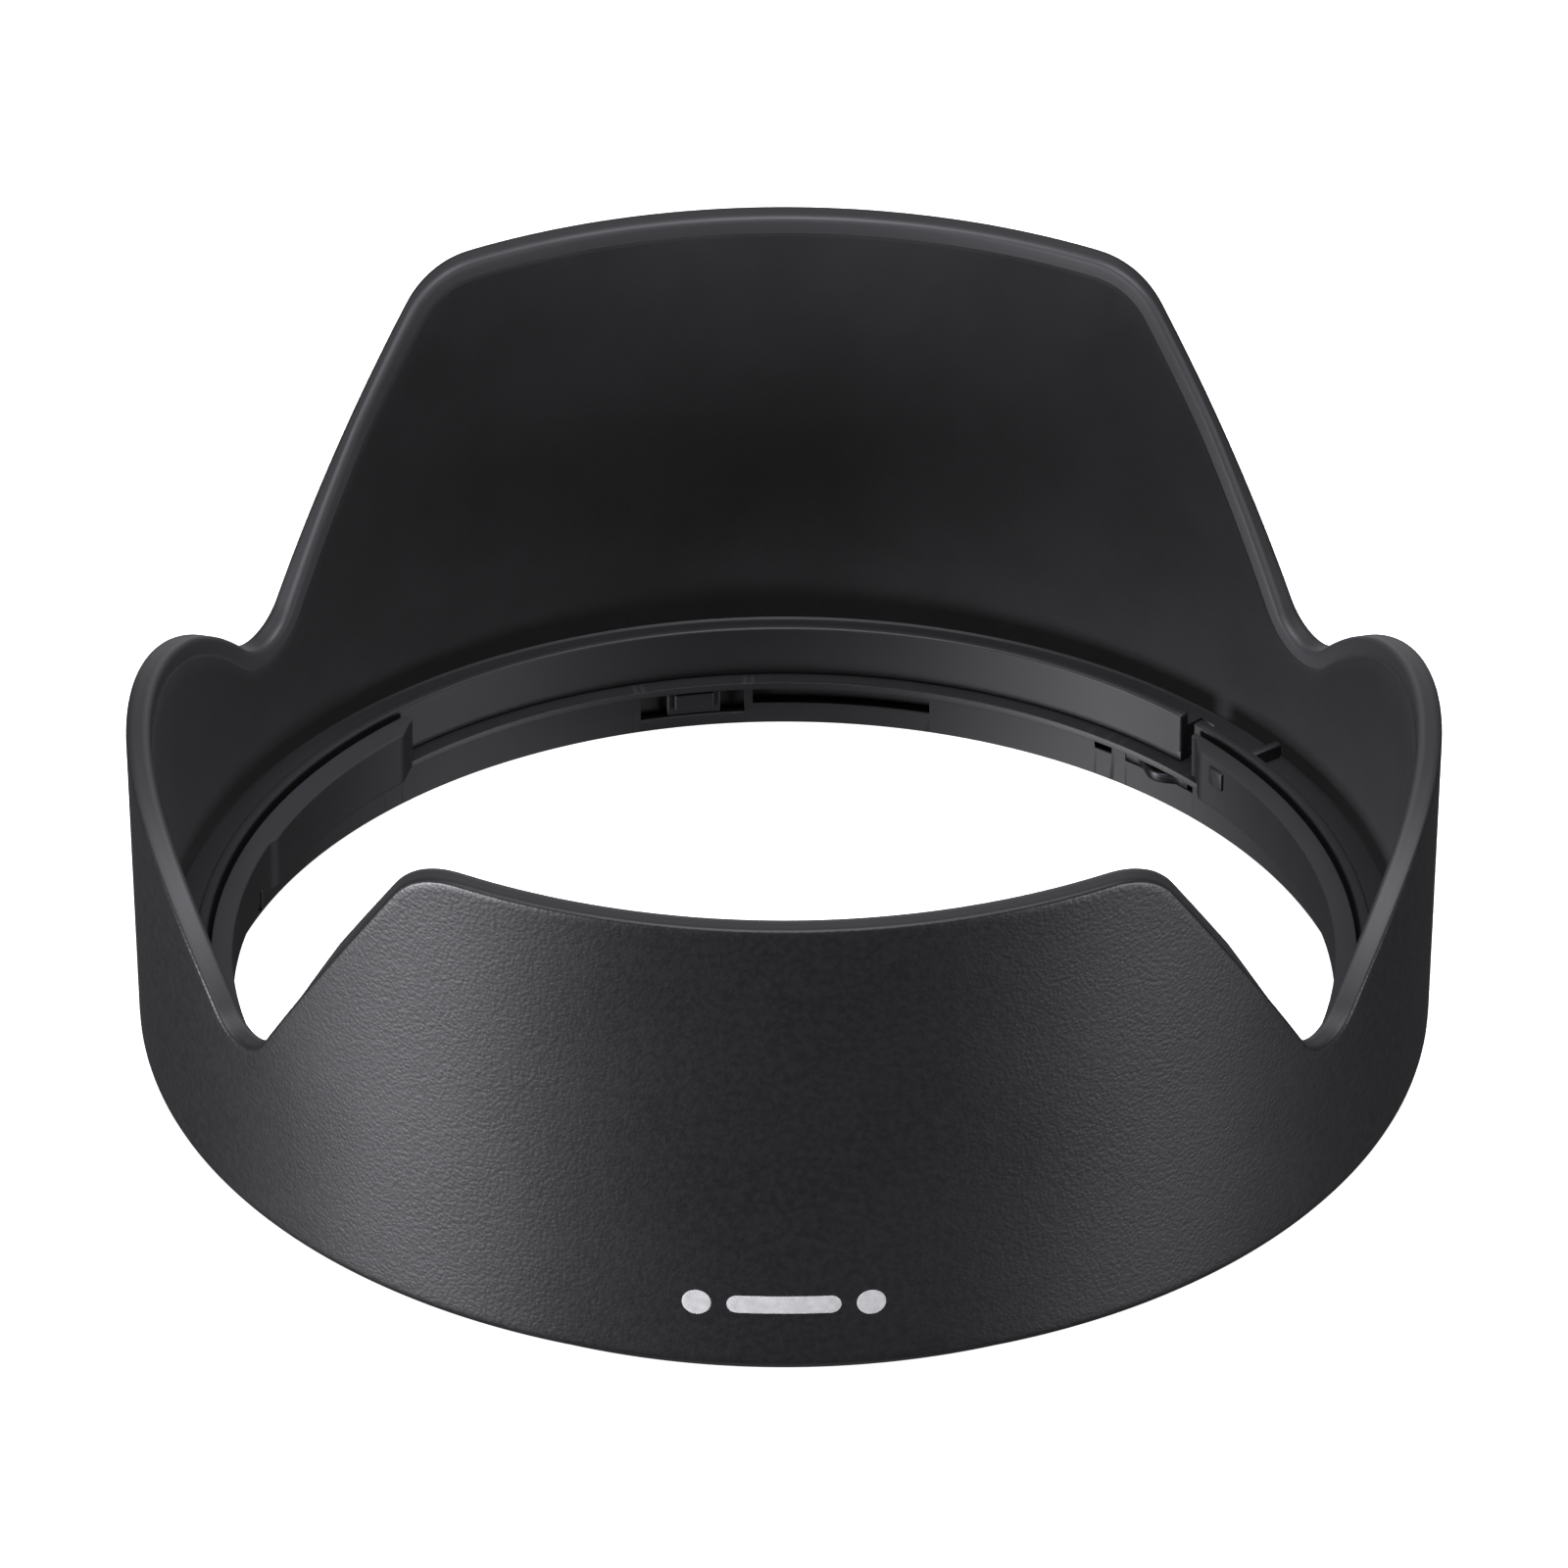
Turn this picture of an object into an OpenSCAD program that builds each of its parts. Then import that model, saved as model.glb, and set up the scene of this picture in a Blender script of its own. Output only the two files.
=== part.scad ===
// Petal lens hood with a twist-on mount: an outer shell with two tall and two short petals,
// a thin light-absorbing lining, a separate bayonet ring, two click springs, the ring's screws
// and a small printed mark.
// The optical axis is Z. The mount face is z = 0 and the tall petals point along +Y and -Y.

/* [Petals] */
// Height of the two tall petals above the mount face
tall_h = 41.15; // [38:0.05:46]
// Height of the two short petals above the mount face
short_h = 27.3; // [25:0.1:29]
// Radius of the arc that the short petals' edge follows
short_arc_r = 33.5; // [32:0.5:36]
// Slope of the tall petals' sides, in degrees
flank_angle = 54.7; // [50:0.1:58]
// Rounding at the foot of each notch
notch_r = 4; // [3:0.5:6]
// Rounding of the tall petals' shoulders
tall_shoulder_r = 6.3; // [3:0.1:8]

/* [Shell] */
// Outer radius at the foot of the wall
foot_r = 46.8; // [46:0.1:49]
// How much the outer radius grows over the wall's height
flare = 1.12; // [0.4:0.01:2]
// Thickness of the shell's wall
wall = 1.8; // [1.4:0.1:2.2]
// Height of the sloping underside between the wall and the mount face
foot_bevel_h = 3.3; // [3:0.1:3.6]

/* [Lining] */
// Thickness of the light-absorbing lining
lining_t = 0.3; // [0.2:0.05:0.5]
// Bare margin between the rim and the lining
lining_margin = 1.3; // [0.6:0.1:3]

/* [Mount] */
// Inner radius of the bayonet ring's lower wall
mount_r = 41.47; // [41.3:0.01:41.6]
// Inner radius of the two long bayonet lugs
lug_r = 40; // [39.8:0.1:40.4]
// Inner radius of the lip over the bayonet groove
lip_r = 40.7; // [40.5:0.1:41]
// Height of the collar that stands round the bayonet ring
collar_h = 8; // [7:0.1:10]
// Gap between the bayonet lugs and the collar
parting_gap = 0.3; // [0.2:0.05:0.4]

/* [Click springs] */
// Outward travel of each spring as a lens tab passes over it
click_travel = 0.5; // [0.2:0.05:0.5]
// Thickness of the spring strip
strip_t = 0.35; // [0.25:0.05:0.4]

/* [Screws] */
// Number of screws that hold the bayonet ring
screw_count = 4; // [2:1:6]
// Diameter of the screw's shank
screw_d = 1; // [0.8:0.1:1.2]
// Diameter of the screw's head
screw_head_d = 1.8; // [1.4:0.1:1.8]

/* [Printed mark] */
// Height of the mark's centre above the mount face
mark_z = 8.6; // [7:0.1:12]
// Length and height of the mark's bar
mark_bar = [8.2, 1.5]; // [4:0.1:10]
// Diameter of the dot at each end of the mark
mark_dot_d = 2.1; // [1:0.1:3]

/* [Hidden] */
$fn = 180;
eps = 0.01;
over = 1;                                   // how far a cutter runs past what it cuts
seam = 35;                                  // where the turned walls start, clear of the notches

// collar and floor of the gap between the collar and the wall
collar_in = mount_r + 0.43;
collar_t = 0.85;
floor_z = 4.8;
seat_z = 4;                                 // top of the ring's body, under the shell's floor
seat_r = 42.8;                              // outer radius of the ring's body
flange_r = 44.7;                            // outer radius of the ring's screw flange
flange_z = 2.6;
rest_r = 42.3;                              // outer edge of the flat mount face
rib_w = 0.7;
rib_az = 53.7;

// each notch is cut along a line 50 degrees round from the tall petal's middle
notch_az = 50;
flank_point = [-5.55, 29.3];                // a point on the tall petal's side, seen along that line
short_mid = wall_r(short_h) * sin(90 - notch_az);
notch_reach = short_mid + 1.5;              // the cut stops just past the short petal's middle

// bayonet details, as angles from the back of the ring, clockwise from above
recess_from = -42.6;
recess_to = 44.1;
lug_from = 46.6;
lug_lead = 48.6;
lug_step = 111;
lug_to = 180 + recess_from;
lug_top = 7.6;
lip_z = 3.4;
groove_z = 1.7;
spring_from = 37.6;
spring_to = 46;
spring_mid = 42.3;
spring_z = [2.55, 3.85];
strip_r = 41.2;                             // inner face of the spring strip at rest
click_r = 2.6;                              // radius of the spring's rounded bump
click_depth = 0.95;                         // how far the bump stands in from the strip
spring_clear = 0.15;
screw_az = 22.5;
screw_ring_r = 43.35;
screw_len = 2.6;
head_h = 0.5;
head_z = 2;                                 // underside of the head, above the mount face
head_clear = 0.2;
slot_l = 1.2;
slot_w = 0.25;
slot_depth = 0.3;
mark_t = 0.06;
mark_dot_x = 6.25;

function wall_r(z) = foot_r + flare * (z - foot_bevel_h) / (tall_h - foot_bevel_h);
function foot_slope_z(r) = foot_bevel_h * (r - rest_r) / (foot_r - rest_r);
function dir(a) = [cos(a), sin(a)];
// where a line through p along a first comes within d of c
function reach_circle(p, a, c, d) =
    let (along = (c - p) * dir(a), off = norm(c - p - dir(a) * along))
    p + dir(a) * (along - sqrt(d * d - off * off));

// everything above the rim beside one notch, seen from outside, moved into the wall by m
module notch_outline(m) {
    down = -flank_angle;
    side = flank_point - dir(90 + down) * m;
    arc_r = short_arc_r - m;
    arc_c = [short_mid, short_h - short_arc_r];
    foot_r = notch_r + m;
    foot_c = reach_circle(side + dir(90 + down) * foot_r, down, arc_c, arc_r + foot_r);
    foot = reach_circle(side, down, arc_c, arc_r);
    top = side + dir(down) * (tall_h - m - side[1]) / sin(down);
    shoulder_r = tall_shoulder_r - m;
    shoulder_reach = shoulder_r * tan(flank_angle / 2);
    difference() {
        union() {
            polygon([top, foot, arc_c + [0, arc_r - over], [notch_reach, arc_c[1] + arc_r - over],
                     [notch_reach, tall_h + over], [top[0], tall_h + over]]);
            // rounding of the tall petal's shoulder
            difference() {
                polygon([top - [shoulder_reach, 0], top - [shoulder_reach, -over],
                         top + [over, over], top + dir(down) * shoulder_reach,
                         top - [shoulder_reach, shoulder_r]]);
                translate(top - [shoulder_reach, shoulder_r]) circle(shoulder_r);
            }
        }
        translate(arc_c) circle(arc_r);
        // rounding at the notch's foot, tangent to the side and to the short petal's arc
        difference() {
            polygon([foot_c - dir(90 + down) * foot_r, foot - [0, over],
                     foot_c + (arc_c - foot_c) * foot_r / norm(arc_c - foot_c), foot_c]);
            translate(foot_c) circle(foot_r);
        }
    }
}

// the four notches, cut outwards through the wall, each in its own quarter
module notches(m) {
    for (turn = [0, 180]) for (side = [0, 1]) rotate([0, 0, turn]) mirror([side, 0, 0])
        intersection() {
            rotate([0, 0, -notch_az]) rotate([90, 0, 0]) translate([0, 0, -foot_r - flare - 2 * over])
                linear_extrude(foot_r / 2) notch_outline(m);
            cube([2 * foot_r, 2 * foot_r, 2 * tall_h]);
        }
}

// part of a ring between two angles, clockwise from the back
module sector(r, z, from, to) {
    rotate([0, 0, 90 - to]) rotate_extrude(angle = to - from)
        translate([r[0], z[0]]) square([r[1] - r[0], z[1] - z[0]]);
}

// the same feature on both sides of the ring
module twice() {
    for (turn = [0, 180]) rotate([0, 0, turn]) children();
}

module at_screws() {
    for (i = [0 : screw_count - 1])
        rotate([0, 0, screw_az + i * 360 / screw_count]) translate([screw_ring_r, 0, 0])
            children();
}

module shell_body() {
    rotate([0, 0, seam]) rotate_extrude() polygon([
        [flange_r, foot_slope_z(flange_r)], [foot_r, foot_bevel_h],
        [wall_r(tall_h), tall_h], [wall_r(tall_h) - wall, tall_h],
        [wall_r(floor_z) - wall, floor_z], [collar_in + collar_t, floor_z],
        [collar_in + collar_t, collar_h], [collar_in, collar_h],
        [collar_in, seat_z], [seat_r, seat_z], [seat_r, flange_z], [flange_r, flange_z]]);
}

module outer_shell() {
    color([0.17, 0.17, 0.18]) difference() {
        union() {
            shell_body();
            // radial ribs that tie the collar to the wall
            twice() rotate([0, 0, 90 - rib_az])
                translate([collar_in + collar_t - eps, -rib_w / 2, floor_z - eps])
                    cube([wall_r(0) - wall - collar_in - collar_t, rib_w, collar_h - floor_z]);
        }
        notches(0);
        // slot through the collar between the recess and the lug
        twice() sector([collar_in - over, collar_in + collar_t + eps], [floor_z + eps, collar_h + over],
                       recess_to, lug_from - 0.8);
        at_screws() cylinder(h = head_z + screw_len, d = screw_d);
    }
}

module flock_lining() {
    foot = floor_z + rib_w;
    top = tall_h - lining_margin;
    color([0.05, 0.05, 0.055]) difference() {
        rotate([0, 0, seam]) rotate_extrude() polygon([
            [wall_r(foot) - wall, foot], [wall_r(top) - wall, top],
            [wall_r(top) - wall - lining_t, top], [wall_r(foot) - wall - lining_t, foot]]);
        notches(lining_margin);
        // clearance round the ribs
        twice() rotate([0, 0, 90 - rib_az]) translate([collar_in, -rib_w / 2 - spring_clear, foot - over])
            cube([foot_r, rib_w + 2 * spring_clear, collar_h + spring_clear - foot + over]);
    }
}

module bayonet_ring() {
    lug_out = collar_in - parting_gap;
    color([0.22, 0.22, 0.23]) difference() {
        union() {
            rotate_extrude() polygon([
                [mount_r, 0], [rest_r, 0],
                [flange_r, foot_slope_z(flange_r)], [flange_r, flange_z], [seat_r, flange_z],
                [seat_r, seat_z],
                [lip_r, seat_z], [lip_r, lip_z], [mount_r + 0.1, lip_z],
                [mount_r + 0.1, groove_z], [mount_r, groove_z]]);
            twice() {
                // long bayonet lugs, which stand further in at their far end
                sector([lug_r + 0.5, lug_out], [lip_z, lug_top], lug_from, lug_to);
                sector([lug_r, lug_out - 0.4], [lip_z, lug_top], lug_lead, lug_to);
                sector([lug_r - 0.3, lug_out - 0.3], [lip_z, lug_top], lug_step, lug_to);
                // stop blocks beside the click spring and on the lug
                sector([lip_r + 0.15, seat_r - 0.3], [groove_z + 0.7, lip_z + 0.2], 33.9, 36);
                sector([lug_r - 0.2, lug_out - 0.5], [5.6, 7.1], 51.4, 53.6);
            }
        }
        twice() {
            // bayonet groove under the lip: a thin line, an open stretch and a shallow run-out
            sector([mount_r - over, mount_r + 0.5], [3, lip_z], recess_from, -15.6);
            sector([mount_r - over, mount_r + 0.9], [1, lip_z], -14.8, -4);
            sector([mount_r - over, mount_r + 0.9], [groove_z, lip_z], -3.2, 15);
            sector([mount_r - over, mount_r + 0.3], [groove_z, lip_z], 14.9, spring_from - 0.5);
            // pocket at the end of the lug
            sector([lug_r - over, mount_r + 0.9], [2.2, 4.9], 130.7, 135.1);
            // pocket that the click spring sits in and moves back into
            sector([lug_r - over, strip_r + strip_t + click_travel + spring_clear],
                   [spring_z[0] - spring_clear, seat_z + over],
                   spring_from - 0.4, spring_to + 0.4);
        }
        at_screws() {
            translate([0, 0, -over]) cylinder(h = over + head_z, d = screw_head_d + head_clear);
            cylinder(h = flange_z + over, d = screw_d);
        }
    }
    // tapered click stop in the middle of the open stretch of the groove
    color([0.22, 0.22, 0.23]) twice() {
        sector([mount_r - 0.15, mount_r + 1.1], [1.55, 2.9], -11.2, -7.2);
        sector([mount_r + 0.2, mount_r + 1.2], [0.9, 2.8], -11.9, -6.5);
    }
}

// a strip with a rounded bump, bent from one piece of flat spring
module click_spring() {
    bump_at = strip_r - click_depth + click_r;
    color([0.45, 0.45, 0.47]) difference() {
        union() {
            sector([strip_r, strip_r + strip_t], spring_z, spring_from, spring_to);
            rotate([0, 0, 90 - spring_mid]) translate([bump_at, 0, spring_z[0]])
                cylinder(h = spring_z[1] - spring_z[0], r = click_r);
        }
        rotate([0, 0, 90 - spring_mid]) translate([bump_at, 0, spring_z[0] - over])
            cylinder(h = spring_z[1] - spring_z[0] + 2 * over, r = click_r - strip_t);
        difference() {
            cylinder(h = collar_h, r = foot_r);
            translate([0, 0, -over]) cylinder(h = collar_h + 2 * over, r = strip_r + strip_t);
        }
    }
}

module click_spring_right() click_spring();

module click_spring_left() rotate([0, 0, 180]) click_spring();

module ring_screws() {
    color([0.35, 0.35, 0.36]) at_screws() difference() {
        union() {
            translate([0, 0, head_z - head_h]) cylinder(h = head_h, d = screw_head_d);
            translate([0, 0, head_z - eps]) cylinder(h = screw_len, d = screw_d);
        }
        // cross slot
        for (a = [0, 90]) rotate([0, 0, a]) translate([-slot_l / 2, -slot_w / 2, head_z - head_h - over])
            cube([slot_l, slot_w, over + slot_depth]);
    }
}

// a bar between two dots, printed on the front of the wall
module printed_mark() {
    bottom = mark_z - mark_dot_d;
    top = mark_z + mark_dot_d;
    straight = (mark_bar[0] - mark_bar[1]) / 2;
    color([0.9, 0.9, 0.9]) intersection() {
        rotate_extrude() polygon([[wall_r(bottom), bottom], [wall_r(bottom) + mark_t, bottom],
                                  [wall_r(top) + mark_t, top], [wall_r(top), top]]);
        translate([0, 0, mark_z]) rotate([90, 0, 0]) linear_extrude(foot_r + 2 * over) {
            square([2 * straight, mark_bar[1]], center = true);
            for (side = [-1, 1]) {
                translate([side * straight, 0]) circle(d = mark_bar[1]);
                translate([side * mark_dot_x, 0]) circle(d = mark_dot_d);
            }
        }
    }
}

outer_shell();
flock_lining();
bayonet_ring();
click_spring_right();
click_spring_left();
ring_screws();
printed_mark();
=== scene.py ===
import bmesh
import bpy
import numpy as np
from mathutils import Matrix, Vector


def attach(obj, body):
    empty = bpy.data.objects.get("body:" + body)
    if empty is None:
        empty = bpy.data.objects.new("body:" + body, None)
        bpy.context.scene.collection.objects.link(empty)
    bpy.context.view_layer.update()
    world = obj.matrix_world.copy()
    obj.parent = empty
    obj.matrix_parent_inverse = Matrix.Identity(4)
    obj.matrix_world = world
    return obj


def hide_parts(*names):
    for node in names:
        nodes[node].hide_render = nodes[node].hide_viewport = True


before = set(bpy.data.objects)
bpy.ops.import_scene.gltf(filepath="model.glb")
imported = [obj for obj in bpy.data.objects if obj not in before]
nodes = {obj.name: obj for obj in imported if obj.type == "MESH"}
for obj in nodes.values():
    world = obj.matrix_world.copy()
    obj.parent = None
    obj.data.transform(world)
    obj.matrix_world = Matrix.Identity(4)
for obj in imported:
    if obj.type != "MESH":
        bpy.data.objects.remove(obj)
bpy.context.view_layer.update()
mm = 0.001


def around(radius, azimuth, height):
    # a point at a radius and a height, turned clockwise from +Y by azimuth in degrees
    radius, turn, height = np.broadcast_arrays(radius, np.radians(azimuth), height)
    return np.stack([radius * np.sin(turn), radius * np.cos(turn), height], -1)


def gridFaces(rows, columns, closedRows, closedColumns):
    # four-cornered faces between neighbouring points of a grid
    i, j = np.meshgrid(np.arange(rows if closedRows else rows - 1),
                       np.arange(columns if closedColumns else columns - 1), indexing="ij")
    below, right = (i + 1) % rows, (j + 1) % columns
    corners = [i * columns + j, i * columns + right, below * columns + right, below * columns + j]
    return np.stack(corners, -1).reshape(-1, 4)


def cleanMesh(name, parts, smoothness=None):
    # one mesh in metres from (points, faces) pairs in mm, with doubles merged and faces turned outwards
    points, faces, start = [], [], 0
    for partPoints, partFaces in parts:
        points.append(partPoints.reshape(-1, 3))
        faces.append(partFaces + start)
        start += len(points[-1])
    points, faces = np.concatenate(points) * mm, np.concatenate(faces)
    mesh = bpy.data.meshes.new(name)
    mesh.from_pydata(points.tolist(), [], faces.tolist())
    if smoothness is not None:
        layer = mesh.attributes.new("smoothness", "FLOAT", "POINT")
        layer.data.foreach_set("value", np.resize(smoothness, len(points)).astype(np.float32))
    work = bmesh.new()
    work.from_mesh(mesh)
    bmesh.ops.remove_doubles(work, verts=work.verts, dist=0.003 * mm)
    bmesh.ops.dissolve_degenerate(work, edges=work.edges, dist=0.001 * mm)
    bmesh.ops.recalc_face_normals(work, faces=work.faces)
    work.to_mesh(mesh)
    work.free()
    return mesh


def finishPiece(name, mesh, material, body, replaced=(), sharpAngle=40):
    # smooth shading up to the sharp angle, with flat faces kept flat by weighted normals
    mesh.polygons.foreach_set("use_smooth", np.ones(len(mesh.polygons), bool))
    mesh.set_sharp_from_angle(angle=np.radians(sharpAngle))
    mesh.materials.clear()
    mesh.materials.append(material)
    piece = bpy.data.objects.new(name, mesh)
    bpy.context.scene.collection.objects.link(piece)
    weighted = piece.modifiers.new("weighted", "WEIGHTED_NORMAL")
    weighted.keep_sharp = True
    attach(piece, body)
    if replaced:
        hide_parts(*replaced)
    return piece


def stepped(azimuth, first, changes):
    # a value that jumps at each (azimuth, new value)
    values = np.array([first] + [value for _, value in changes], float)
    return values[np.searchsorted([at for at, _ in changes], azimuth)]


def columnsBetween(start, stop, step, edges=()):
    # even columns with a close pair at each edge where something steps
    pairGap = 0.02
    count = max(3, int((stop - start) / step) + 1)
    inside = [edge + side for edge in edges for side in (-pairGap, pairGap) if start < edge < stop]
    return np.unique(np.concatenate([np.linspace(start, stop, count), inside]))


def ringBlock(r0, r1, z0, z1, start, stop, rounding=0.12, step=1.0):
    # a block bent round the axis: a section with quarter-circle corners, carried from start to stop,
    # drawn in along a quarter circle at each end and closed with a flat cap
    middleR, smallest = 41.0, 0.01
    sweep = np.linspace(0, np.pi / 2, 4)
    reach = np.degrees(rounding / middleR)
    columns = columnsBetween(start + reach, stop - reach, step)[1:-1]
    turns = np.concatenate([start + reach * (1 - np.cos(sweep)), columns,
                            (stop - reach * (1 - np.cos(sweep)))[::-1]])
    inset = np.concatenate([rounding * (1 - np.sin(sweep)), 0 * columns,
                            (rounding * (1 - np.sin(sweep)))[::-1]])
    low, high, foot, top = (np.broadcast_to(side(turns) if callable(side) else side, turns.shape)
                            for side in (r0, r1, z0, z1))
    corner = np.maximum(rounding - inset, smallest)
    loops = []
    for r, z, begin in ((high, foot, -np.pi / 2), (high, top, 0), (low, top, np.pi / 2),
                        (low, foot, np.pi)):
        outward, upward = np.where(r is high, 1, -1), np.where(z is top, 1, -1)
        centreR = r - outward * (inset + corner)
        centreZ = z - upward * (inset + corner)
        for angle in begin + sweep:
            loops.append((centreR + corner * np.cos(angle), centreZ + corner * np.sin(angle)))
    radius = np.array([loop[0] for loop in loops]).T
    height = np.array([loop[1] for loop in loops]).T
    capR, capZ = (low + high) / 2, (foot + top) / 2
    width = radius.shape[1]
    radius = np.vstack([np.full(width, capR[0]), radius, np.full(width, capR[-1])])
    height = np.vstack([np.full(width, capZ[0]), height, np.full(width, capZ[-1])])
    turns = np.concatenate([[turns[0]], turns, [turns[-1]]])[:, None]
    return around(radius, turns, height), gridFaces(len(turns), width, False, True)


def twice(parts):
    # the same parts again, half a turn round
    return parts + [(points * np.array([-1, -1, 1]), faces) for points, faces in parts]


def newMaterial(name):
    material = bpy.data.materials.new(name)
    material.use_nodes = True
    tree = material.node_tree
    shader = tree.nodes["Principled BSDF"]
    place = tree.nodes.new("ShaderNodeTexCoord").outputs["Object"]
    return material, tree, shader, place


def noise(tree, place, scale, detail=2.0, roughness=0.5):
    node = tree.nodes.new("ShaderNodeTexNoise")
    node.inputs["Scale"].default_value = scale
    node.inputs["Detail"].default_value = detail
    node.inputs["Roughness"].default_value = roughness
    tree.links.new(place, node.inputs["Vector"])
    return node.outputs["Fac"]


def spread(tree, value, low, high, toLow, toHigh):
    node = tree.nodes.new("ShaderNodeMapRange")
    for name, number in (("From Min", low), ("From Max", high), ("To Min", toLow), ("To Max", toHigh)):
        node.inputs[name].default_value = number
    tree.links.new(value, node.inputs["Value"])
    return node.outputs["Result"]


def sums(tree, operation, first, second):
    node = tree.nodes.new("ShaderNodeMath")
    node.operation = operation
    for socket, value in zip(node.inputs, (first, second)):
        if isinstance(value, (int, float)):
            socket.default_value = value
        else:
            tree.links.new(value, socket)
    return node.outputs[0]


def blendColours(tree, factor, first, second):
    node = tree.nodes.new("ShaderNodeMix")
    node.data_type = "RGBA"
    tree.links.new(factor, node.inputs["Factor"])
    for socket, colour in ((node.inputs[6], first), (node.inputs[7], second)):
        if isinstance(colour, tuple):
            socket.default_value = (*colour, 1)
        else:
            tree.links.new(colour, socket)
    return node.outputs[2]


def addBump(tree, shader, height, strength, depth):
    node = tree.nodes.new("ShaderNodeBump")
    node.inputs["Strength"].default_value = strength
    node.inputs["Distance"].default_value = depth
    tree.links.new(height, node.inputs["Height"])
    tree.links.new(node.outputs["Normal"], shader.inputs["Normal"])


grainedPlastic = {
    "grain": (0.0078, 0.0077, 0.0086), "grainLight": (0.0134, 0.0131, 0.0147),
    # the rim colour is painted light: lighter than the plastic, standing in for light falling on the rim
    # band
    "smooth": (0.0085, 0.0085, 0.0092), "rim": (0.036, 0.0355, 0.038),
    "cells": 3500, "fine": 7000, "fineShare": 0.6, "plainGrain": 0.06, "mottle": 1900, "drift": 60,
    "bump": 0.6, "depth": 0.028 * mm,
    "grainRoughness": 0.4, "smoothRoughness": 0.56, "specular": 0.5,
}


def shellPlastic(look):
    # pebbled cells with finer noise on them where the piece's smoothness is 0, plain from a half up,
    # and lighter towards 1, as round the rim, where the lighter colour is painted light for the light
    # falling on the rim band
    material, tree, shader, place = newMaterial("grainedShell")
    smooth = tree.nodes.new("ShaderNodeAttribute")
    smooth.attribute_name = "smoothness"
    cells = tree.nodes.new("ShaderNodeTexVoronoi")
    cells.feature = "SMOOTH_F1"
    cells.inputs["Scale"].default_value = look["cells"]
    cells.inputs["Smoothness"].default_value = 0.8
    tree.links.new(place, cells.inputs["Vector"])
    fine = noise(tree, place, look["fine"], 3)
    fine = sums(tree, "MULTIPLY", fine, look["fineShare"])
    pebbles = sums(tree, "SUBTRACT", fine, cells.outputs["Distance"])
    plain = spread(tree, smooth.outputs["Fac"], 0, 0.5, 0, 1)
    grained = sums(tree, "SUBTRACT", 1.0, plain)
    height = sums(tree, "MULTIPLY", pebbles, sums(tree, "MAXIMUM", grained, look["plainGrain"]))
    addBump(tree, shader, height, look["bump"], look["depth"])
    mottle = spread(tree, noise(tree, place, look["mottle"], 4), 0.35, 0.65, 0, 1)
    rough = blendColours(tree, mottle, look["grain"], look["grainLight"])
    # the rim band is painted lighter here, painted light standing in for the light that falls on it
    paintedRimLight = spread(tree, smooth.outputs["Fac"], 0.5, 1, 0, 1)
    bare = blendColours(tree, paintedRimLight, look["smooth"], look["rim"])
    colour = blendColours(tree, plain, rough, bare)
    tree.links.new(colour, shader.inputs["Base Color"])
    drift = spread(tree, noise(tree, place, look["drift"], 3), 0.3, 0.7, -0.03, 0.03)
    sheen = spread(tree, plain, 0, 1, look["grainRoughness"], look["smoothRoughness"])
    tree.links.new(sums(tree, "ADD", sheen, drift), shader.inputs["Roughness"])
    shader.inputs["Specular IOR Level"].default_value = look["specular"]
    return material


def flockCloth(look):
    # short dull fibres: fine noise in height and a little in colour
    material, tree, shader, place = newMaterial("blackFlock")
    fibres = noise(tree, place, look["fibres"], 4, 0.7)
    addBump(tree, shader, fibres, look["bump"], look["depth"])
    tone = spread(tree, noise(tree, place, look["patches"], 3), 0.3, 0.7, 0, 1)
    tree.links.new(blendColours(tree, tone, look["dark"], look["light"]), shader.inputs["Base Color"])
    tree.links.new(spread(tree, fibres, 0.2, 0.8, 0.9, 1.0), shader.inputs["Roughness"])
    shader.inputs["Specular IOR Level"].default_value = 0.12
    shader.inputs["Sheen Weight"].default_value = look["sheen"]
    shader.inputs["Sheen Roughness"].default_value = 0.6
    return material


def satinPlastic(look):
    # a smooth moulding with faint flow marks and a very fine surface, with the lugs' tops painted lighter:
    # a painted highlight for the light falling on them
    material, tree, shader, place = newMaterial("satinRing")
    surface = noise(tree, place, look["surface"], 3)
    addBump(tree, shader, surface, look["bump"], 0.03 * mm)
    tone = spread(tree, noise(tree, place, look["flow"], 4), 0.3, 0.7, 0, 1)
    parts = tree.nodes.new("ShaderNodeSeparateXYZ")
    tree.links.new(place, parts.inputs[0])
    # the tops of the lugs above 7.5 mm are painted lighter, a painted highlight where light falls on them
    paintedTopLight = spread(tree, parts.outputs["Z"], look["paintedTopLightFrom"], look["paintedTopLightTo"], 0, 1)
    bare = blendColours(tree, tone, look["dark"], look["light"])
    tree.links.new(blendColours(tree, paintedTopLight, bare, look["paintedTopLight"]), shader.inputs["Base Color"])
    tree.links.new(spread(tree, tone, 0, 1, look["glossy"], look["dull"]), shader.inputs["Roughness"])
    shader.inputs["Specular IOR Level"].default_value = look["specular"]
    return material


def darkSteel(name, look):
    # blackened steel with fine drawn lines round the axis and brighter worn spots
    material, tree, shader, place = newMaterial(name)
    stretch = tree.nodes.new("ShaderNodeMapping")
    stretch.inputs["Scale"].default_value = (1, 1, look["drawn"])
    tree.links.new(place, stretch.inputs["Vector"])
    lines = noise(tree, stretch.outputs["Vector"], look["lines"], 3)
    addBump(tree, shader, lines, 0.15, 0.02 * mm)
    tone = spread(tree, lines, 0.35, 0.7, 0, 1)
    tree.links.new(blendColours(tree, tone, look["dark"], look["light"]), shader.inputs["Base Color"])
    tree.links.new(spread(tree, lines, 0.3, 0.7, 0.32, 0.46), shader.inputs["Roughness"])
    shader.inputs["Metallic"].default_value = 0.9
    return material


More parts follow.
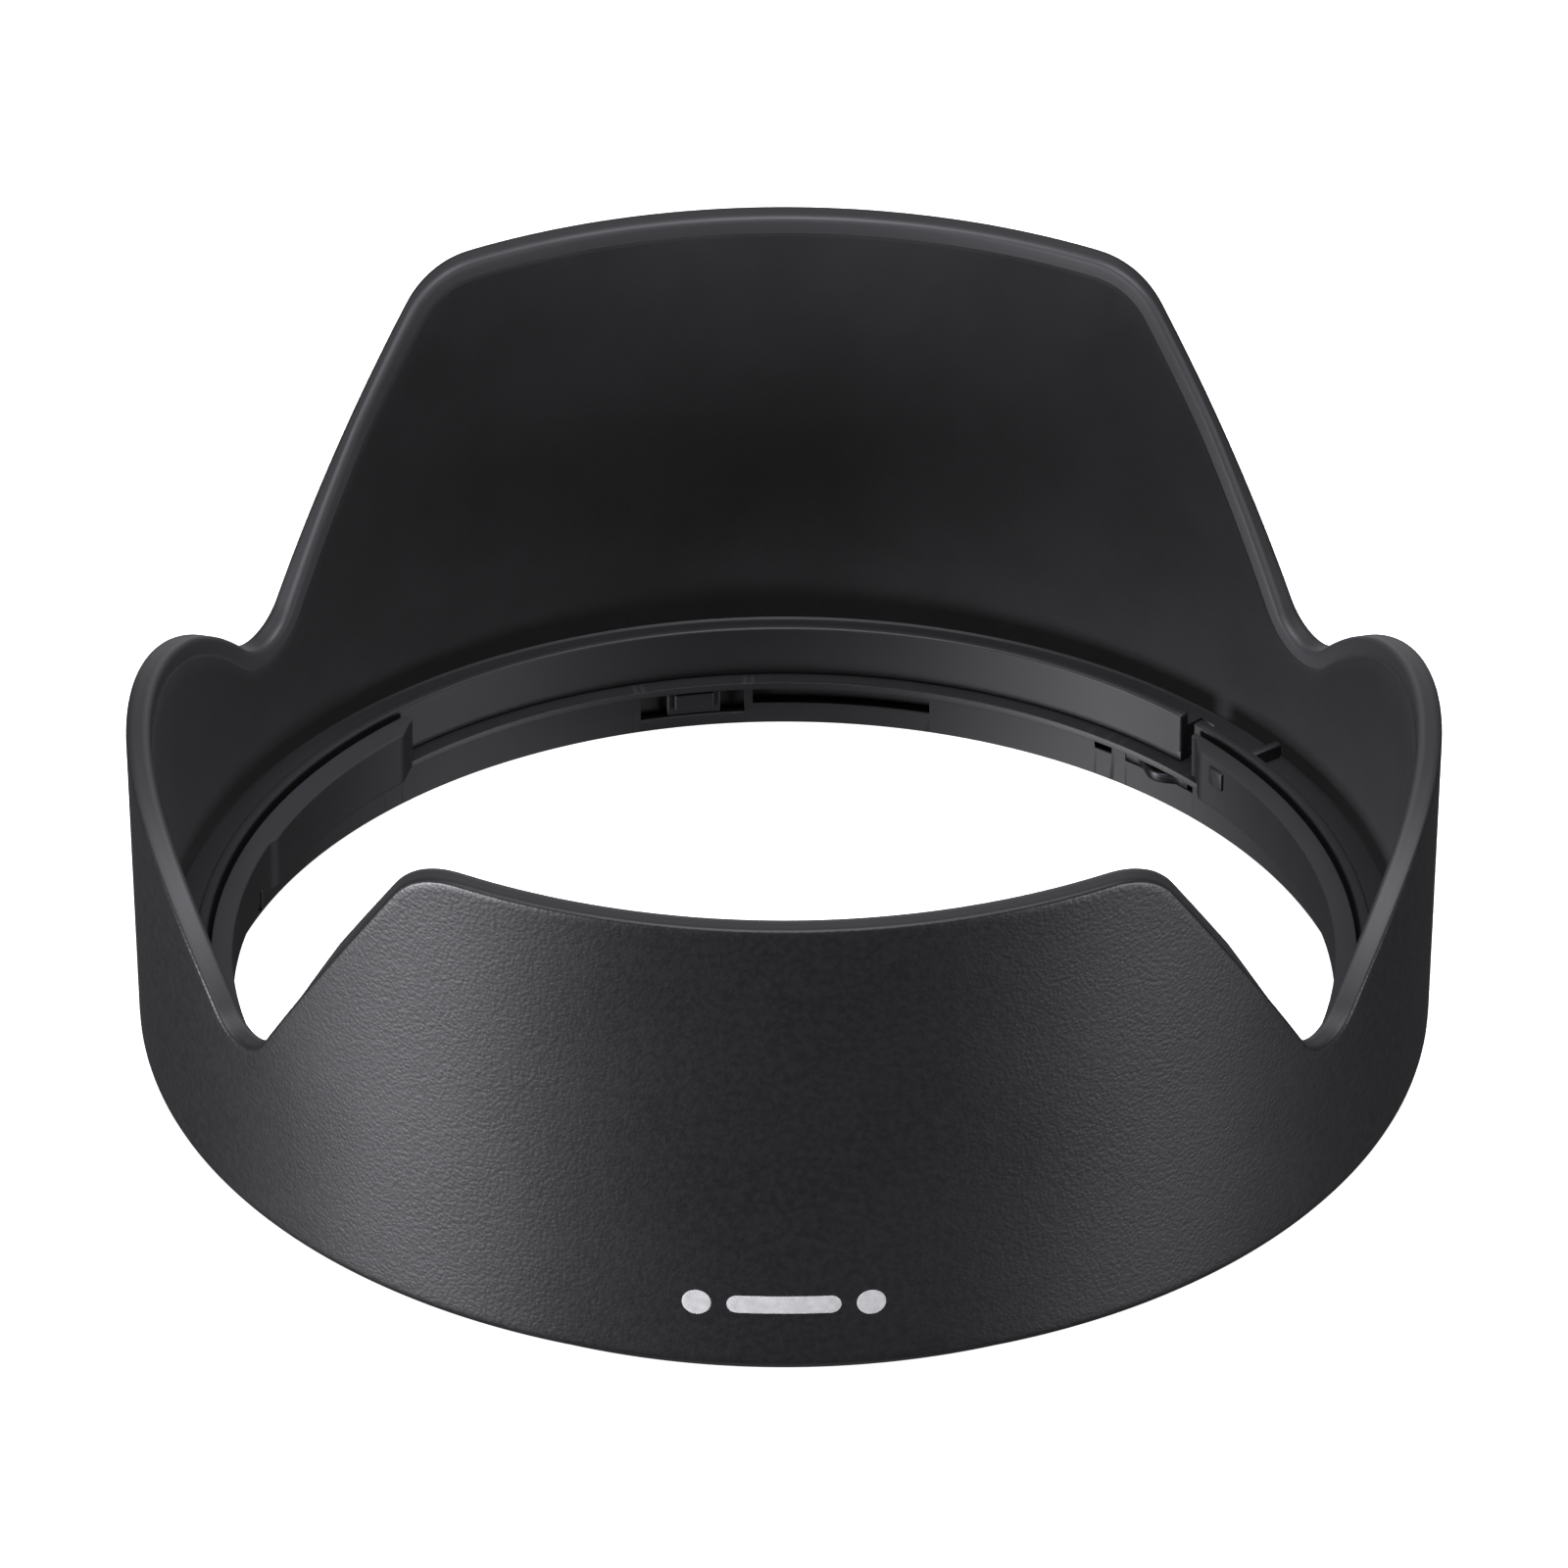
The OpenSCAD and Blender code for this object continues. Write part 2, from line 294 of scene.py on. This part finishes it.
def whitePrint(look):
    # pad-printed ink, slightly mottled by the grain under it
    material, tree, shader, place = newMaterial("whitePrint")
    speckle = noise(tree, place, look["speckle"], 3)
    addBump(tree, shader, speckle, 0.3, 0.03 * mm)
    tone = spread(tree, speckle, 0.3, 0.7, 0, 1)
    tree.links.new(blendColours(tree, tone, look["dull"], look["clean"]), shader.inputs["Base Color"])
    tree.links.new(spread(tree, speckle, 0.3, 0.7, 0.5, 0.62), shader.inputs["Roughness"])
    return material


shellMaterial = shellPlastic(grainedPlastic)
flockMaterial = flockCloth({"fibres": 9000, "patches": 160, "bump": 0.6, "depth": 0.05 * mm, "sheen": 0.04,
                            "dark": (0.0185, 0.0185, 0.019), "light": (0.023, 0.023, 0.0238)})
# the lug tops' lighter colour below is a painted highlight
ringMaterial = satinPlastic({"surface": 2400, "flow": 90, "bump": 0.12, "dark": (0.0075, 0.0075, 0.0082),
                             "light": (0.0095, 0.0095, 0.0103), "glossy": 0.48, "dull": 0.56,
                             "paintedTopLight": (0.024, 0.024, 0.026), "paintedTopLightFrom": 7.45 * mm,
                             "paintedTopLightTo": 7.55 * mm, "specular": 0.4})
springMaterial = darkSteel("springSteel", {"lines": 900, "drawn": 12, "dark": (0.022, 0.022, 0.024),
                                           "light": (0.05, 0.05, 0.054)})
screwMaterial = darkSteel("screwSteel", {"lines": 2200, "drawn": 1, "dark": (0.04, 0.04, 0.045),
                                         "light": (0.11, 0.11, 0.12)})
inkMaterial = whitePrint({"speckle": 1800, "dull": (0.42, 0.42, 0.42), "clean": (0.52, 0.52, 0.52)})
print("materials made")


shell = {
    "tall": 41.15, "short": 27.3, "shortArc": 33.5, "flankAngle": 54.7, "flankPoint": (-5.55, 29.3),
    "notchAzimuth": 50, "notchRadius": 4, "shoulder": 6.3,
    "footR": 46.8, "flare": 1.12, "wall": 1.8, "footZ": 3.3, "footRounding": 0.4,
    "edge": 0.32, "innerEdge": 0.4, "columns": 340,
    "restR": 42.3, "flangeR": 44.7, "flangeZ": 2.6, "seatR": 42.8, "seatZ": 4.0,
    "floorZ": 4.8, "gapZ": 6.9, "slot": (44.1, 45.8), "slotDepth": 1.9,
    "collarIn": 41.9, "collarOut": 42.75, "collarZ": 8.0,
}


def wallRadius(height):
    # outer radius of the slightly flared wall
    return shell["footR"] + shell["flare"] * (height - shell["footZ"]) / (shell["tall"] - shell["footZ"])


def arc(centre, radius, start, stop, count=40):
    # points of a circle between two angles in degrees
    turn = np.radians(np.linspace(start, stop, count))
    return np.stack([centre[0] + radius * np.cos(turn), centre[1] + radius * np.sin(turn)], -1)


def quarterRim():
    # azimuth and height of the rim from a tall petal's middle to a short petal's middle, evenly spaced:
    # a level top, a rounded shoulder, a straight side, a rounded foot and the short petal's arc,
    # drawn on a plane that faces the notch
    slope = np.radians(shell["flankAngle"])
    down = np.array([np.cos(slope), -np.sin(slope)])
    across = np.array([np.sin(slope), np.cos(slope)])
    point = np.array(shell["flankPoint"])
    shortMiddle = wallRadius(shell["short"]) * np.sin(np.radians(90 - shell["notchAzimuth"]))
    arcCentre = np.array([shortMiddle, shell["short"] - shell["shortArc"]])
    top = point - down * (shell["tall"] - point[1]) / np.sin(slope)
    reach = shell["shoulder"] * np.tan(slope / 2)
    shoulderCentre = np.array([top[0] - reach, shell["tall"] - shell["shoulder"]])
    line = point + across * shell["notchRadius"]
    along = (arcCentre - line) @ down
    aside = np.linalg.norm(arcCentre - line - down * along)
    apart = shell["shortArc"] + shell["notchRadius"]
    footCentre = line + down * (along - np.sqrt(apart ** 2 - aside ** 2))
    toArc = np.degrees(np.arctan2(*(arcCentre - footCentre)[::-1]))
    startAcross = -wallRadius(shell["tall"]) * np.sin(np.radians(shell["notchAzimuth"]))
    outline = np.concatenate([
        np.stack([np.linspace(startAcross, shoulderCentre[0], 60), np.full(60, shell["tall"])], -1),
        arc(shoulderCentre, shell["shoulder"], 90, 90 - shell["flankAngle"]),
        arc(footCentre, shell["notchRadius"], 270 - shell["flankAngle"], 360 + toArc),
        arc(arcCentre, shell["shortArc"], 180 + toArc, 90, 90)])
    azimuth = shell["notchAzimuth"] + np.degrees(np.arcsin(outline[:, 0] / wallRadius(outline[:, 1])))
    length = np.cumsum(np.hypot(np.diff(np.radians(azimuth), prepend=0) * shell["footR"],
                                np.diff(outline[:, 1], prepend=shell["tall"])))
    even = np.linspace(length[0], length[-1], shell["columns"] + 1)
    return np.interp(even, length, azimuth), np.interp(even, length, outline[:, 1])


def allRound(quarter, height):
    # the four mirrored quarters one after another
    azimuth = np.concatenate([quarter[:-1], 180 - quarter[:0:-1],
                              180 + quarter[:-1], 360 - quarter[:0:-1]])
    return azimuth, np.concatenate([height[:-1], height[:0:-1]] * 2)


def smoothLoop(values, passes):
    for _ in range(passes):
        values = (np.roll(values, 1) + 2 * values + np.roll(values, -1)) / 4
    return values


quarterAzimuth, quarterHeight = quarterRim()
ratio = 1 / (1 - shell["wall"] / wallRadius(30))
cutTurn = np.radians(np.interp(quarterAzimuth, [0, 26, 42, 58, 70, 90], [0, 14, 24, 0, -12, 0]))
innerQuarter = quarterAzimuth + np.degrees(np.arcsin(ratio * np.sin(cutTurn)) - cutTurn)
rimAzimuth, rimHeight = allRound(quarterAzimuth, quarterHeight)
innerAzimuth, _ = allRound(innerQuarter, quarterHeight)
rimHeight = smoothLoop(rimHeight, 6)
stepAcross = (np.roll(rimAzimuth, -1) - np.roll(rimAzimuth, 1) + 540) % 360 - 180
stepAcross = np.radians(stepAcross) * shell["footR"]
stepUp = np.roll(rimHeight, -1) - np.roll(rimHeight, 1)
rimLean = np.stack([-stepUp, stepAcross]) / np.hypot(stepAcross, stepUp)   # towards the free edge
rimLean = np.stack([smoothLoop(part, 6) for part in rimLean])


def fromRim(azimuth, below, inwards):
    # a row beside the rim: below it along the wall, and inwards through the wall
    height = rimHeight - below * rimLean[1]
    turn = azimuth - np.degrees(below * rimLean[0] / shell["footR"])
    return wallRadius(height) - inwards, turn, height


def downWall(top, foot, inwards, count):
    # rows from just over the foot up to a rim row, each column staying at its own azimuth
    _, turn, height = top
    share = np.linspace(0, 1, count)[:, None]
    rows = foot + share * (height - foot)
    return [(wallRadius(row) - inwards, turn, row) for row in rows]


def level(turn, radius, height):
    return np.full_like(turn, radius), turn, np.full_like(turn, height)


def shellRows():
    # the closed section: underside, outer wall, rim, inner wall, floor, and the seat over the ring
    edge, inner, wall = shell["edge"], shell["innerEdge"], shell["wall"]
    sweep = np.linspace(0, np.pi / 2, 6)
    outerTop = fromRim(rimAzimuth, 1.4, 0)
    innerTop = fromRim(innerAzimuth, 1.5, wall)
    outTurn, inTurn = outerTop[1], innerTop[1]
    slope = np.array([shell["footR"] - shell["restR"], shell["footZ"]])
    slope /= np.linalg.norm(slope)
    corner, tangent = np.array([shell["footR"], shell["footZ"]]), 1.2 * shell["footRounding"]
    flangeFoot = shell["footZ"] * (shell["flangeR"] - shell["restR"]) / (shell["footR"] - shell["restR"])
    rows = [level(outTurn, shell["flangeR"], flangeFoot)]
    for share in np.linspace(0, 1, 6):
        # quadratic curve round the foot of the wall
        point = (1 - share) ** 2 * (corner - tangent * slope) + 2 * share * (1 - share) * corner
        point = point + share ** 2 * (corner + np.array([0, tangent]))
        rows.append(level(outTurn, *point))
    start = len(rows)
    rows += downWall(outerTop, shell["footZ"] + 2 * tangent, 0, 8)
    rows += [fromRim(rimAzimuth, 0.8, 0)]
    rows += [fromRim(rimAzimuth, edge * (1 - np.sin(a)), edge * (1 - np.cos(a))) for a in sweep]
    grainEnd = len(rows) - 3
    for share in np.linspace(0, 1, 5)[1:-1]:
        inwards = edge + share * (wall - edge - inner)
        rows.append(fromRim(rimAzimuth + share * (innerAzimuth - rimAzimuth), 0, inwards))
    rimEnd = len(rows)
    rows += [fromRim(innerAzimuth, inner * (1 - np.cos(a)), wall - inner * (1 - np.sin(a))) for a in sweep]
    rows += [fromRim(innerAzimuth, 0.9, wall)]
    stripEnd = len(rows) + 1
    rows += downWall(innerTop, shell["gapZ"] + 0.3, wall, 7)[::-1]
    inFloor = wallRadius(shell["gapZ"]) - wall
    inSlot = (inTurn % 180 > shell["slot"][0]) & (inTurn % 180 < shell["slot"][1] + 0.4)
    gapR = shell["collarIn"] + 0.2 + shell["slotDepth"] * inSlot
    rows += [level(inTurn, inFloor - 0.3, shell["gapZ"]),
             level(inTurn, gapR, shell["gapZ"]),
             level(inTurn, gapR, shell["seatZ"] + 0.02),
             level(inTurn, shell["seatR"], shell["seatZ"] + 0.02),
             level(inTurn, shell["seatR"], shell["flangeZ"] + 0.02),
             level(inTurn, shell["flangeR"], shell["flangeZ"] + 0.02)]
    smoothness = np.full(len(rows), 0.5)
    smoothness[start - 3:grainEnd] = 0
    # above a half, smoothness also paints light onto the rim face, and fully onto the strip inside it
    smoothness[grainEnd + 3:rimEnd] = 0.68
    smoothness[rimEnd:stripEnd] = 1
    return np.array(rows), smoothness


def collarParts():
    # the standing collar between its slots, a low band under it, and the ribs that tie it to the wall
    slot = shell["slot"]
    collarIn, collarOut = shell["collarIn"], shell["collarOut"]
    parts = twice([
        ringBlock(collarIn, collarOut, 4.45, shell["collarZ"], slot[1] - 180, slot[0], 0.2, 1.0),
        ringBlock(collarIn, collarOut + 0.4, shell["seatZ"] + 0.03, shell["floorZ"] + 0.02,
                  slot[1] - 180, slot[0], 0.05),
        ringBlock(collarOut - 0.2, wallRadius(6) - shell["wall"] + 0.1, 4.6, shell["collarZ"],
                  53.25, 54.15, 0.13),
    ])
    return parts


rows, rowSmoothness = shellRows()
shellPoints = around(rows[:, 0], rows[:, 1], rows[:, 2])
shellGrid = (shellPoints, gridFaces(*shellPoints.shape[:2], True, True))
collar = collarParts()
collarCount = sum(points.reshape(-1, 3).shape[0] for points, _ in collar)
shellSmoothness = np.concatenate([np.repeat(rowSmoothness, shellPoints.shape[1]),
                                  np.full(collarCount, 0.5)])
shellMesh = cleanMesh("petalShell", [shellGrid] + collar, shellSmoothness)
finishPiece("petalShell", shellMesh, shellMaterial, "hood", ["outer_shell"])
print("outer shell made")


lining = {"thickness": 0.16, "margin": 1.2, "foot": 5.3}


def liningRows():
    # a thin skin on the inner wall: up its face, round its top edge and back down inside the wall
    wall, thick = shell["wall"], lining["thickness"]
    top = fromRim(innerAzimuth, lining["margin"] + 0.3, wall)
    rows = [level(top[1], wallRadius(lining["foot"]) - wall + 0.05, lining["foot"])]
    rows += downWall(top, lining["foot"], wall + thick, 14)
    for a in np.linspace(0, np.pi / 2, 5)[1:]:
        below = lining["margin"] + 0.3 - 0.25 * np.sin(a)
        inwards = wall + 0.9 * thick * np.cos(a) + 0.02 - 0.07 * np.sin(a)
        rows.append(fromRim(innerAzimuth, below, inwards))
    return np.array(rows)


liningPoints = around(*np.moveaxis(liningRows(), 1, 0))
liningGrid = (liningPoints, gridFaces(*liningPoints.shape[:2], True, True))
finishPiece("flockLining", cleanMesh("flockLining", [liningGrid]), flockMaterial,
            "hood", ["flock_lining"])
print("lining made")


ring = {
    "mountR": 41.47, "restR": 42.3, "lipR": 40.7, "lipZ": 3.4, "ledgeZ": 3.98, "seatR": 42.75,
    "flangeR": 44.65, "flangeZ": 2.58, "edge": 0.07,
    "pocket": (37.3, 46.4), "lugTop": 7.6, "lugOut": 41.6,
    "screwRing": 43.35, "counterbore": 1.0, "headTop": 2.0,
}


def ringRows(turns):
    # the ring's section, whose groove floor, groove depth and lip change with the azimuth
    half = (turns + 90) % 180 - 90
    pocketFrom, pocketTo = ring["pocket"]
    grooveFoot = stepped(half, 3.0, [(-48.7, 2.2), (-45.1, 3.0), (-15.6, 3.2), (-14.8, 1.0), (-4, 3.2),
                                     (-3.2, 1.7), (15, 3.0), (33.5, 2.35), (35.6, 3.0),
                                     (pocketFrom, 2.25), (pocketTo, 3.0)])
    grooveDepth = stepped(half, 0.12, [(-48.7, 0.5), (-45.1, 0.12), (-42.6, 0.2), (-15.6, 0.02),
                                       (-14.8, 0.9), (-4, 0.02), (-3.2, 0.9), (15, 0.1), (33.5, 0.9),
                                       (35.6, 0.1), (pocketFrom, 0.75), (pocketTo, 0.12)])
    lip = stepped(half, ring["lipR"], [(-48.7, ring["mountR"] + 0.3), (-45.1, ring["lipR"])])
    mount, edge = ring["mountR"], ring["edge"]
    flat = np.zeros_like(turns)
    flangeFoot = 3.3 * (ring["flangeR"] - ring["restR"]) / 4.5
    rows = [(mount + flat, edge + flat), (mount + flat, grooveFoot - edge),
            (mount + flat + np.minimum(edge, grooveDepth / 2), grooveFoot),
            (mount + grooveDepth, grooveFoot + 0.01),
            (mount + grooveDepth, ring["lipZ"] + flat),
            (lip + edge, ring["lipZ"] + flat), (lip, ring["lipZ"] + edge + flat),
            (lip, ring["ledgeZ"] - edge + flat),
            (lip + 0.3 * edge, ring["ledgeZ"] - 0.3 * edge + flat), (lip + edge, ring["ledgeZ"] + flat),
            (ring["seatR"] + flat, ring["ledgeZ"] + flat), (ring["seatR"] + flat, ring["flangeZ"] + flat),
            (ring["flangeR"] + flat, ring["flangeZ"] + flat),
            (ring["flangeR"] + flat, flangeFoot + edge + flat),
            (ring["flangeR"] - edge + flat, flangeFoot - 0.5 * edge + flat),
            (ring["restR"] + edge + flat, 0.5 * edge + flat), (ring["restR"] - edge + flat, flat),
            (mount + edge + flat, flat), (mount + 0.3 * edge + flat, 0.3 * edge + flat)]
    return around(np.array([row[0] for row in rows]), turns[None, :], np.array([row[1] for row in rows]))


def ringBase():
    edges = [-48.7, -45.1, -42.6, -15.6, -14.8, -4, -3.2, 15, 33.5, 35.6, *ring["pocket"]]
    turns = columnsBetween(-90, 270, 0.75, [e + turn for e in edges for turn in (0, 180)])[:-1]
    points = ringRows(turns)
    return points, gridFaces(*points.shape[:2], True, True)


def counterbores(base):
    # four round seats for the screw heads, cut into the sloping underside
    holder = bpy.data.objects.new("ringBlank", cleanMesh("ringBlank", [base]))
    bores = bmesh.new()
    for angle in np.radians(22.5 + 90 * np.arange(4)):
        made = bmesh.ops.create_cone(bores, cap_ends=True, segments=32, depth=4 * mm,
                                     radius1=ring["counterbore"] * mm, radius2=ring["counterbore"] * mm)
        place = Vector((ring["screwRing"] * np.cos(angle), ring["screwRing"] * np.sin(angle),
                        ring["headTop"] - 2)) * mm
        bmesh.ops.translate(bores, verts=made["verts"], vec=place)
    cutterMesh = bpy.data.meshes.new("boreCutter")
    bores.to_mesh(cutterMesh)
    bores.free()
    cutter = bpy.data.objects.new("boreCutter", cutterMesh)
    for thing in (holder, cutter):
        bpy.context.scene.collection.objects.link(thing)
    cut = holder.modifiers.new("cut", "BOOLEAN")
    cut.operation, cut.object, cut.solver = "DIFFERENCE", cutter, "EXACT"
    evaluated = holder.evaluated_get(bpy.context.evaluated_depsgraph_get())
    result = bpy.data.meshes.new_from_object(evaluated)
    for thing in (holder, cutter):
        bpy.data.objects.remove(thing)
    return result


def lugInner(turns):
    # the lug stands further in along its length
    turnsAt = [47.4, 49.4, 110.4, 111.6, 135.4, 137.6]
    return np.interp(turns, turnsAt, [41.1, 40.0, 40.0, 39.7, 39.7, 40.7])


def ringBlocks():
    # long lugs, stops and small blocks on one half of the ring, and again on the other; each row gives
    # the inner and outer radius, the foot and the top, the first and the last azimuth, and the rounding
    lugFrom, lugTo, lugFoot = 46.6, 138.0, ring["lipZ"] - 0.02
    blocks = [(39.8, 41.1, 5.6, 7.1, 51.4, 53.6, 0.12),
              (39.85, 40.3, 3.0, 4.8, 107.2, 107.8, 0.08),
              (41.32, 42.5, 1.55, 2.9, -11.2, -7.2, 0.12),
              (41.67, 42.5, 0.9, 2.8, -11.9, -6.5, 0.12)]
    lug = ringBlock(lugInner, ring["lugOut"], lugFoot, ring["lugTop"], lugFrom, lugTo, 0.15, 0.5)
    return twice([lug] + [ringBlock(*block) for block in blocks])


ringMesh = counterbores(ringBase())
work = bmesh.new()
work.from_mesh(ringMesh)
work.from_mesh(cleanMesh("ringBlocks", ringBlocks()))
work.to_mesh(ringMesh)
work.free()
finishPiece("bayonetRing", ringMesh, ringMaterial, "hood", ["bayonet_ring"], 32)
print("bayonet ring made")


spring = {"from": 37.6, "to": 46.0, "middle": 42.3, "inner": 41.2, "strip": 0.35, "bump": 0.93,
          "halfWidth": 2.2, "foot": 2.56, "top": 3.34}


def bumpDepth(turns):
    # a rounded bump inwards, one minus the square of the distance, squared
    distance = np.radians(turns - spring["middle"]) * spring["inner"] / spring["halfWidth"]
    return spring["bump"] * np.clip(1 - distance ** 2, 0, 1) ** 2


def springStrip():
    return ringBlock(lambda turns: spring["inner"] - bumpDepth(turns),
                     lambda turns: spring["inner"] - bumpDepth(turns) + spring["strip"],
                     spring["foot"], spring["top"], spring["from"], spring["to"], 0.07, 0.15)


for side, half in (("right", 0), ("left", 1)):
    strip = twice([springStrip()])[half]
    name = f"click_spring_{side}"
    finishPiece(f"clickSpring{side.capitalize()}", cleanMesh(name, [strip]), springMaterial,
                name, [name])
print("click springs made")

for slot in nodes["ring_screws"].material_slots:
    slot.material = screwMaterial


mark = {"height": 8.6, "proud": 0.03, "bar": (4.1, 0.75), "dot": (1.05, 1.05), "dotAt": 6.25}


def printPatch(centre, half):
    # a patch with round ends laid on the wall: rings that grow from its middle to its outline, then a skirt
    turn = np.linspace(-np.pi / 2, np.pi / 2, 17)
    straight = half[0] - half[1]
    side = np.stack([straight + half[1] * np.cos(turn), half[1] * np.sin(turn)])
    across = np.stack([np.linspace(straight, -straight, 17)[1:-1], np.full(15, half[1])])
    outline = np.concatenate([side, across, -side, -across], 1)
    scale = np.array([0, 0.3, 0.6, 0.85, 0.97, 1.0, 1.0, 0])
    proud = mark["proud"] * np.array([1, 1, 1, 1, 1, 0.4, -2, -2])
    x = centre + scale[:, None] * outline[0]
    z = mark["height"] + scale[:, None] * outline[1]
    radius = wallRadius(z) + proud[:, None]
    faces = gridFaces(*x.shape, False, True)
    return around(radius, 180 - np.degrees(x / wallRadius(z)), z), faces


markParts = [printPatch(0, mark["bar"])]
markParts += [printPatch(side * mark["dotAt"], mark["dot"]) for side in (-1, 1)]
finishPiece("frontMark", cleanMesh("frontMark", markParts), inkMaterial, "hood",
            ["printed_mark"])
print("printed mark made")


studio = {"target": 21.96, "elevation": 33.5, "distance": 2000, "lens": 635.4,
          "floor": 6.0, "floorZ": -0.05 * mm, "world": 0.045}


def paleFloor():
    material, tree, shader, place = newMaterial("paleFloor")
    tone = spread(tree, noise(tree, place, 2, 2), 0.3, 0.7, 0, 1)
    tree.links.new(blendColours(tree, tone, (0.9, 0.9, 0.9), (0.93, 0.93, 0.93)),
                   shader.inputs["Base Color"])
    shader.inputs["Roughness"].default_value = 0.9
    shader.inputs["Specular IOR Level"].default_value = 0.1
    shader.inputs["Emission Color"].default_value = (1, 1, 1, 1)
    shader.inputs["Emission Strength"].default_value = 1.0
    half = studio["floor"] / 2
    mesh = bpy.data.meshes.new("floor")
    corners = ((-1, -1), (1, -1), (1, 1), (-1, 1))
    mesh.from_pydata([(x * half, y * half, studio["floorZ"]) for x, y in corners], [], [(0, 1, 2, 3)])
    mesh.materials.append(material)
    floor = bpy.data.objects.new("floor", mesh)
    # a white backdrop that doesn't light, reflect in or shade the hood
    floor.visible_glossy = False
    floor.visible_diffuse = False
    floor.visible_shadow = False
    bpy.context.scene.collection.objects.link(floor)


def softbox(name, position, size, power):
    # a square area light that faces the object
    data = bpy.data.lights.new(name, "AREA")
    data.shape, data.size, data.energy = "SQUARE", size, power
    data.color = (0.955, 0.945, 1)
    light = bpy.data.objects.new(name, data)
    light.location = position
    light.rotation_euler = (Vector((0, 0, 0.02)) - light.location).to_track_quat("-Z", "Y").to_euler()
    bpy.context.scene.collection.objects.link(light)


paleFloor()
softbox("topBox", (0, -0.15, 1.25), 0.9, 23)
softbox("leftBox", (-1.07, -0.54, -0.2), 0.6, 28)
softbox("rightBox", (1.07, -0.54, -0.2), 0.6, 11.5)
softbox("backBox", (0, 1.2, 0.1), 0.8, 2)
world = bpy.data.worlds.new("studio")
world.use_nodes = True
world.node_tree.nodes["Background"].inputs["Color"].default_value = (1, 1, 1, 1)
world.node_tree.nodes["Background"].inputs["Strength"].default_value = studio["world"]
bpy.context.scene.world = world
bpy.context.scene.view_settings.view_transform = "Standard"

lens = bpy.data.cameras.new("camera")
lens.lens, lens.sensor_width, lens.clip_end = studio["lens"], 36, 20
camera = bpy.data.objects.new("camera", lens)
elevation = np.radians(studio["elevation"])
target = Vector((0, 0, studio["target"] * mm))
camera.location = target + studio["distance"] * mm * Vector((0, -np.cos(elevation), np.sin(elevation)))
camera.rotation_euler = (target - camera.location).to_track_quat("-Z", "Y").to_euler()
bpy.context.scene.collection.objects.link(camera)
bpy.context.scene.camera = camera

print("scene ready")
